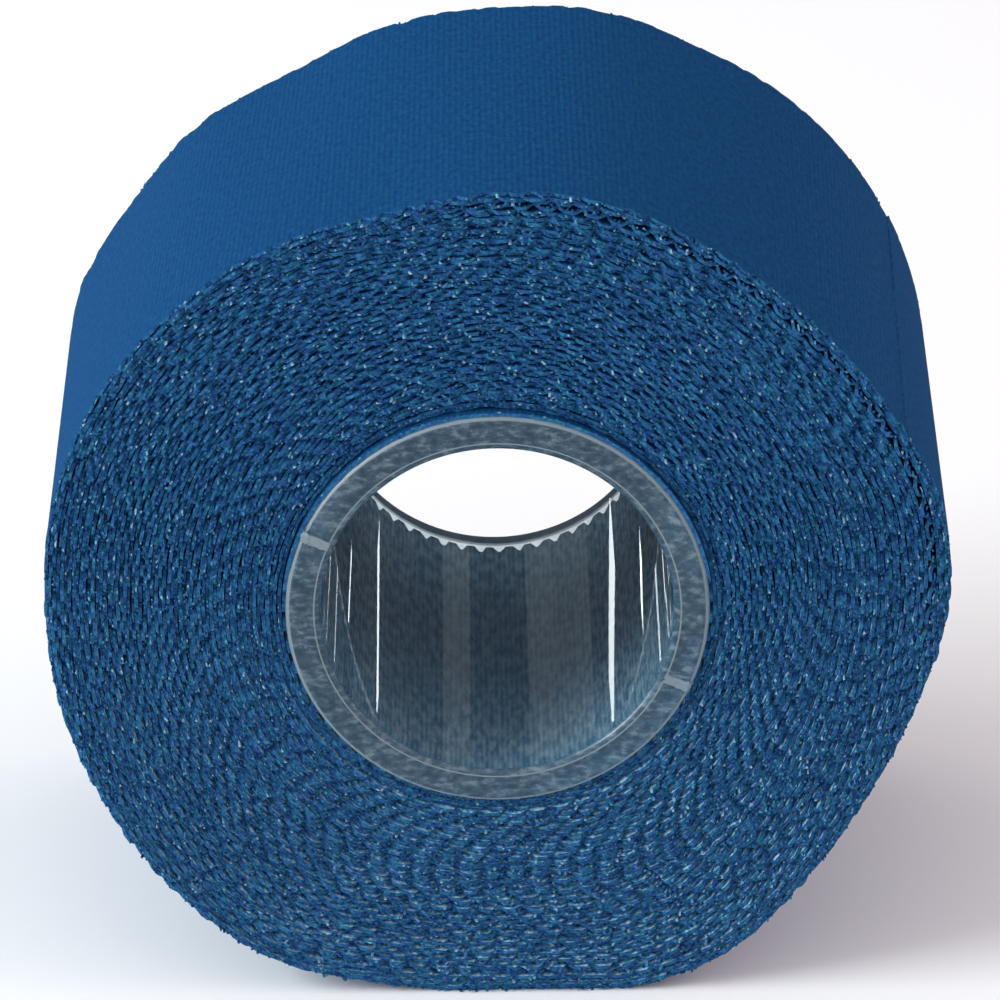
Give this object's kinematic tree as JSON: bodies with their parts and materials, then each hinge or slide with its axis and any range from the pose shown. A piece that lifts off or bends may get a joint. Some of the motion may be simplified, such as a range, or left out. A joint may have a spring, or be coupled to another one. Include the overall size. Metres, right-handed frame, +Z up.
{
  "type": "athletic tape roll",
  "caption": "Roll of cotton athletic tape with pinked edges, wound on a clear plastic core tube and resting on a small flat spot.",
  "frame": {"origin": "under the middle of the roll's box, on the surface that the roll rests on", "axes": "+Z up; Y along the roll's axis, with the end where the core tube stands proud of the tape at -Y; +X to the right as seen from that end"},
  "size_m": [0.063, 0.0392, 0.0599],
  "materials": {
    "cotton_tape": "matte navy blue woven cotton with pinked, slightly frayed edges",
    "clear_core": "clear moulded plastic, glossy, faintly grey"
  },
  "bodies": {
    "root": {"core_tube": "clear_core", "wound_tape": "cotton_tape"}
  },
  "joints": []
}
